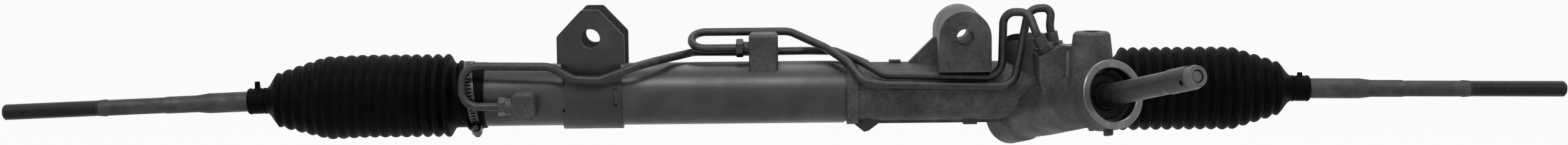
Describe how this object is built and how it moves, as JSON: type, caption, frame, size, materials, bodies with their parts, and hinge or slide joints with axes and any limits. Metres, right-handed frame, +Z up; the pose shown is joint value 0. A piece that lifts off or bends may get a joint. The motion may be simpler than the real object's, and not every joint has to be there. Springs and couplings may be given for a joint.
{
  "type": "steering rack",
  "caption": "Hydraulic power rack-and-pinion steering gear with cast valve housing, steel cylinder tube, transfer lines, bellows and inner tie rods.",
  "frame": {"origin": "middle of the mounting bore in the gear housing, halfway along its axis", "axes": "+X along the rack towards the gear end, +Z up, -Y towards the input shaft's side, along the mounting bores"},
  "size_m": [1.3566, 0.2696, 0.127],
  "materials": {
    "casting": "rough die cast",
    "machined": "machined",
    "tube_steel": "drawn tube",
    "dark_steel": "phosphated",
    "bright_steel": "ground",
    "zinc_steel": "zinc plated",
    "bracket_steel": "black paint",
    "rod_steel": "forged",
    "rubber": "matt",
    "seal_rubber": "matt",
    "bronze": "sintered",
    "plastic": "acetal",
    "ptfe": "filled PTFE"
  },
  "bodies": {
    "housing": {"gear_housing": "casting", "lower_cap": "machined", "pinion_lower_bearing": "bright_steel", "pinion_upper_bush": "bronze", "input_bearing": "bright_steel", "input_seal": "seal_rubber", "input_snap_ring": "dark_steel", "yoke": "machined", "yoke_spring": "dark_steel", "yoke_plug": "machined", "yoke_lock_nut": "zinc_steel", "cylinder_tube": "tube_steel", "tube_lock_ring": "dark_steel", "end_bushing": "machined", "end_seal": "seal_rubber", "end_lock_ring": "dark_steel", "bulkhead": "machined", "bulkhead_seal": "seal_rubber", "rack_bushing": "ptfe", "mount_bracket": "bracket_steel", "left_port_boss": "casting", "centre_port_block": "casting", "left_line_nut": "zinc_steel", "line_nuts": "dark_steel", "left_transfer_line": "dark_steel", "right_transfer_line": "dark_steel", "left_boot_clamp": "zinc_steel", "right_boot_clamp": "zinc_steel"},
    "rack": {"rack_bar": "bright_steel", "piston": "machined", "piston_ring": "ptfe", "piston_clips": "dark_steel", "left_socket": "dark_steel", "right_socket": "dark_steel", "left_boot_inner": "rubber", "right_boot_inner": "rubber"},
    "pinion": {"pinion": "bright_steel", "valve_sleeve": "bright_steel", "valve_rings": "ptfe"},
    "input": {"input_shaft": "dark_steel", "torsion_bar": "dark_steel", "cross_pin": "bright_steel"},
    "left_seat": {"left_ball_cup": "plastic"},
    "left_swing": {"left_ball_ring": "plastic", "left_boot_outer": "rubber", "left_boot_small_clamp": "zinc_steel"},
    "left_rod": {"left_tie_rod": "rod_steel"},
    "right_seat": {"right_ball_cup": "plastic"},
    "right_swing": {"right_ball_ring": "plastic", "right_boot_outer": "rubber", "right_boot_small_clamp": "zinc_steel"},
    "right_rod": {"right_tie_rod": "rod_steel"}
  },
  "joints": [
    {"name": "rack_slide", "type": "slide", "parent": "housing", "child": "rack", "axis": [1, 0, 0], "range_m": [-0.065, 0.065], "deforming": ["left_boot_inner", "right_boot_inner"]},
    {"name": "pinion_turn", "type": "hinge", "parent": "housing", "child": "pinion", "pos_m": [0.0605, -0.00469, -0.06903], "axis": [0.428, -0.8775, 0.2164], "range_deg": [-422, 422]},
    {"name": "input_twist", "type": "hinge", "parent": "pinion", "child": "input", "pos_m": [0.0605, -0.00469, -0.06903], "axis": [0.428, -0.8775, 0.2164], "range_deg": [-3.5, 3.5], "stiffness_Nm_per_rad": 115},
    {"name": "left_tie_steer", "type": "hinge", "parent": "rack", "child": "left_seat", "pos_m": [-0.516, 0, -0.05], "axis": [0, 0, 1], "range_deg": [-12, 12], "deforming": ["left_boot_outer"]},
    {"name": "left_tie_bounce", "type": "hinge", "parent": "left_seat", "child": "left_swing", "pos_m": [-0.516, 0, -0.05], "axis": [0, 1, 0], "range_deg": [-16, 20]},
    {"name": "left_tie_spin", "type": "hinge", "parent": "left_swing", "child": "left_rod", "pos_m": [-0.516, 0, -0.05], "axis": [-0.9994, 0, -0.0349], "range_deg": [-180, 180]},
    {"name": "right_tie_steer", "type": "hinge", "parent": "rack", "child": "right_seat", "pos_m": [0.208, 0, -0.05], "axis": [0, 0, 1], "range_deg": [-12, 12], "deforming": ["right_boot_outer"]},
    {"name": "right_tie_bounce", "type": "hinge", "parent": "right_seat", "child": "right_swing", "pos_m": [0.208, 0, -0.05], "axis": [0, 1, 0], "range_deg": [-18.7, 17.3]},
    {"name": "right_tie_spin", "type": "hinge", "parent": "right_swing", "child": "right_rod", "pos_m": [0.208, 0, -0.05], "axis": [0.9999, 0, -0.0122], "range_deg": [-180, 180]}
  ],
  "couplings": [
    {"joint": "pinion_turn", "follows": "rack_slide", "rad_per_m": -112.97}
  ]
}
